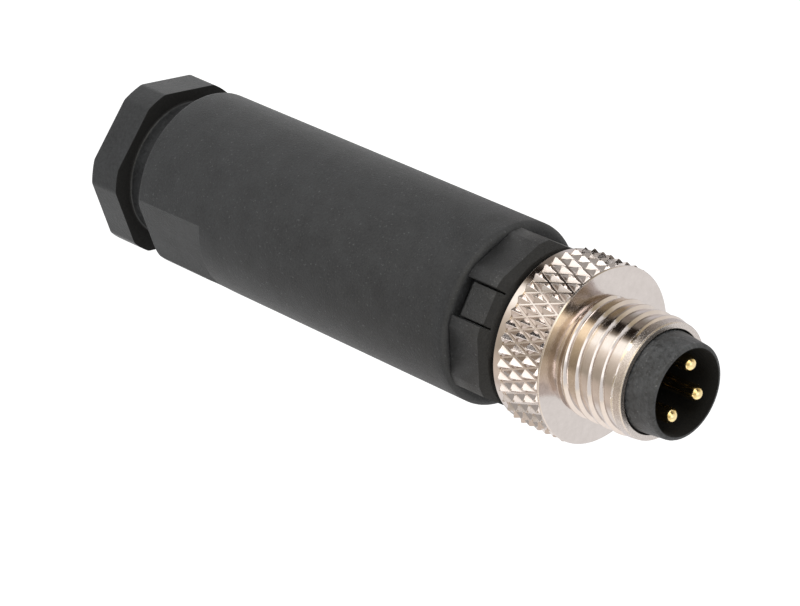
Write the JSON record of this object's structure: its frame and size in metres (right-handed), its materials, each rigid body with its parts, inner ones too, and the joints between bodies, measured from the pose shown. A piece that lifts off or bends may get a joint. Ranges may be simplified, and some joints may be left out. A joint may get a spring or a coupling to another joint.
{
  "type": "circular sensor connector",
  "caption": "Straight field-wireable round sensor plug: matt black sleeve, hexagonal clamp nut, knurled nickel-plated screw ring, dark nose around gold pins.",
  "frame": {"origin": "centre of the clamp nut's flat rear face, on which the connector stands", "axes": "+Z along the connector's axis towards the pins; -Y towards one of the two wrench flats of the housing"},
  "size_m": [0.012, 0.012, 0.0465],
  "materials": {
    "housing": "fine-grained matt black polyamide",
    "nut": "satin matt black polyamide",
    "carrier": "fine-grained matt black polyamide",
    "insert": "matt dark grey polyamide",
    "cage": "plain black polyamide",
    "seal": "matt black rubber",
    "nickel": "nickel-plated brass, satin bright",
    "gold": "gold-plated brass",
    "terminal": "bright turned brass"
  },
  "bodies": {
    "carrier": {"contact_carrier": "carrier", "contact_insert": "insert", "pin_1": "gold", "pin_3": "gold", "pin_4": "gold", "terminal_block_1": "terminal", "terminal_block_3": "terminal", "terminal_block_4": "terminal", "terminal_screws": "nickel"},
    "coupling_ring": {"coupling_ring": "nickel"},
    "housing_guide": {"housing_o_ring": "seal"},
    "housing": {"housing": "housing", "cable_seal": "seal"},
    "nut_guide": {"clamp_cage": "cage"},
    "clamp_nut": {"clamp_nut": "nut"}
  },
  "joints": [
    {"name": "coupling_ring_turn", "type": "hinge", "parent": "carrier", "child": "coupling_ring", "pos_m": [0, 0, 0.03966], "axis": [0, 0, 1], "continuous": true},
    {"name": "housing_slide", "type": "slide", "parent": "carrier", "child": "housing_guide", "axis": [0, 0, 1], "range_m": [-0.00375, 0]},
    {"name": "housing_turn", "type": "hinge", "parent": "housing_guide", "child": "housing", "pos_m": [0, 0, 0.03203], "axis": [0, 0, 1], "range_deg": [-1800, 0]},
    {"name": "nut_slide", "type": "slide", "parent": "housing", "child": "nut_guide", "axis": [0, 0, 1], "range_m": [-0.0045, 0.0019], "deforming": ["cable_seal"]},
    {"name": "nut_turn", "type": "hinge", "parent": "nut_guide", "child": "clamp_nut", "pos_m": [0, 0, 0], "axis": [0, 0, 1], "range_deg": [-1620, 684]}
  ],
  "couplings": [
    {"joint": "housing_turn", "follows": "housing_slide", "rad_per_m": 8377.6},
    {"joint": "nut_turn", "follows": "nut_slide", "rad_per_m": 6283.2}
  ]
}
